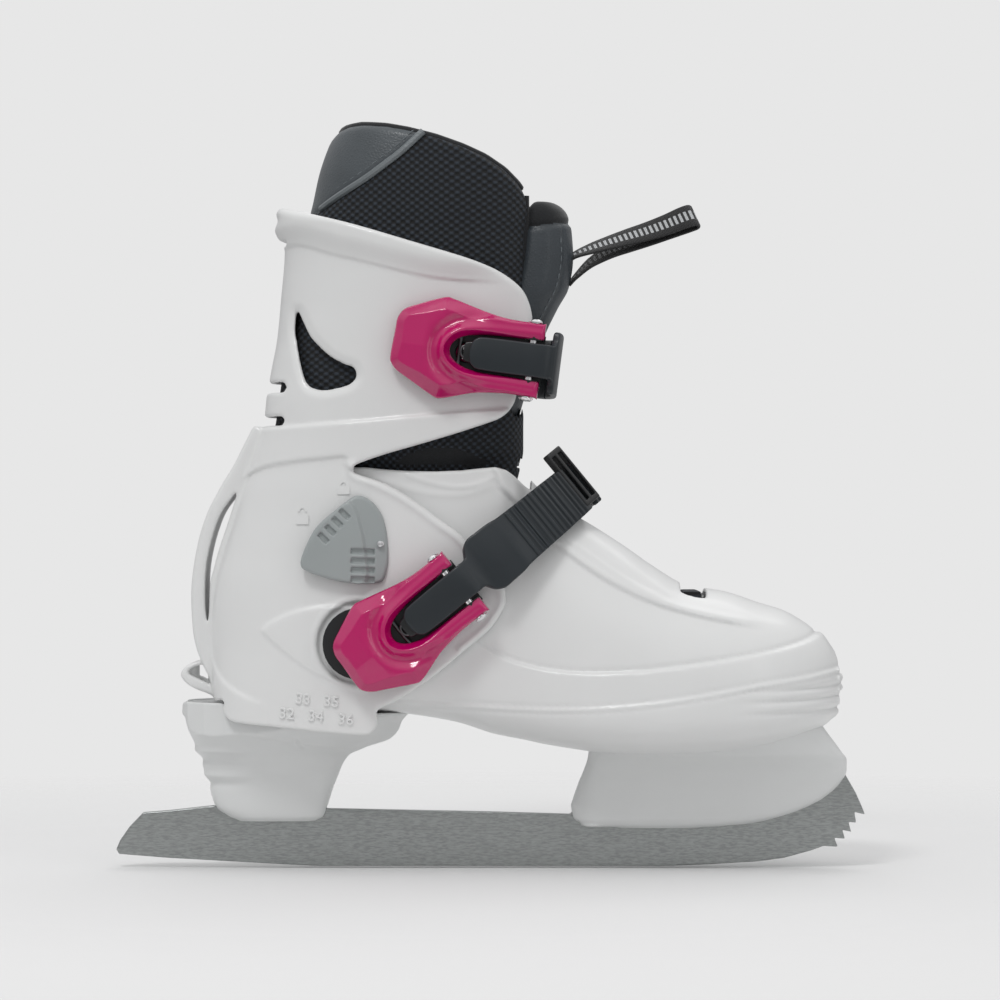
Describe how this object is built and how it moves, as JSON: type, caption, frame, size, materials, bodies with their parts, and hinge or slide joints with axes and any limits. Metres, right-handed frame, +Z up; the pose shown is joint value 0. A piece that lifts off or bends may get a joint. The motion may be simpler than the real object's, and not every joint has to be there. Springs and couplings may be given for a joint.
{
  "type": "ice skate",
  "caption": "Adjustable hard-shell ice skate for a child's right foot, with buckle straps, a removable soft liner and a steel blade.",
  "frame": {"origin": "on the blade's running edge, under the middle of the blade's length and thickness", "axes": "+X towards the toe, -Y towards the outer side of the foot, +Z up from the ice"},
  "size_m": [0.2805, 0.0974, 0.2784],
  "materials": {
    "shell_white": "satin",
    "holder_white": "satin",
    "lever_pink": "gloss",
    "strap_dark": "satin",
    "chrome": "polished",
    "steel_blade": "brushed",
    "steel_small": "brushed",
    "knob_grey": "satin",
    "liner_mesh": "matte",
    "tongue_leather": "satin",
    "webbing": "matte",
    "insole_foam": "matte"
  },
  "bodies": {
    "base": {"blade": "steel_blade", "rear_holder": "holder_white", "front_holder": "holder_white", "toe_shell": "shell_white", "rear_screw_back": "steel_small", "rear_screw_front": "steel_small", "front_screw_back": "steel_small", "front_screw_front": "steel_small"},
    "boot": {"rear_shell": "shell_white", "liner": "liner_mesh", "tongue": "tongue_leather", "insole": "insole_foam", "pull_loop": "webbing", "upper_base": "strap_dark", "lower_base": "strap_dark", "upper_base_rivet": "chrome", "lower_base_rivet": "chrome", "upper_strap_rivet": "chrome", "lower_strap_rivet": "chrome", "upper_medial_strap": "strap_dark", "lower_medial_strap": "strap_dark"},
    "size_knob": {"size_lock_knob": "knob_grey", "size_lock_axle": "steel_small", "size_lock_screw": "steel_small", "size_lock_cam": "steel_small"},
    "upper_lever_body": {"upper_lever": "lever_pink", "upper_lever_pin": "chrome", "upper_hook_pin": "chrome"},
    "lower_lever_body": {"lower_lever": "lever_pink", "lower_lever_pin": "chrome", "lower_hook_pin": "chrome"},
    "upper_strap_body": {"upper_strap": "strap_dark", "upper_hook": "chrome"},
    "lower_strap_body": {"lower_strap": "strap_dark", "lower_hook": "chrome", "strap_ring": "strap_dark"}
  },
  "joints": [
    {"name": "size_slide", "type": "slide", "parent": "base", "child": "boot", "axis": [1, 0, 0], "range_m": [-0.0175, 0.002], "deforming": ["liner", "lower_strap", "lower_medial_strap", "strap_ring"]},
    {"name": "knob_turn", "type": "hinge", "parent": "boot", "child": "size_knob", "pos_m": [-0.0484, -0.036, 0.1222], "axis": [0, -1, 0], "range_deg": [0, 62]},
    {"name": "upper_lever_open", "type": "hinge", "parent": "boot", "child": "upper_lever_body", "pos_m": [0.0149, -0.043, 0.1881], "axis": [0.1288, 0, 0.9917], "range_deg": [0, 125]},
    {"name": "lower_lever_open", "type": "hinge", "parent": "boot", "child": "lower_lever_body", "pos_m": [-0.0119, -0.043, 0.1055], "axis": [-0.6347, 0, 0.7727], "range_deg": [0, 125]},
    {"name": "upper_strap_swing", "type": "hinge", "parent": "boot", "child": "upper_strap_body", "pos_m": [0.0231, 0.0261, 0.187], "axis": [0.1288, 0, 0.9917], "range_deg": [0, 60]},
    {"name": "lower_strap_swing", "type": "hinge", "parent": "boot", "child": "lower_strap_body", "pos_m": [0.0357, -0.008, 0.1446], "axis": [-0.6347, 0, 0.7727], "range_deg": [0, 75]}
  ]
}
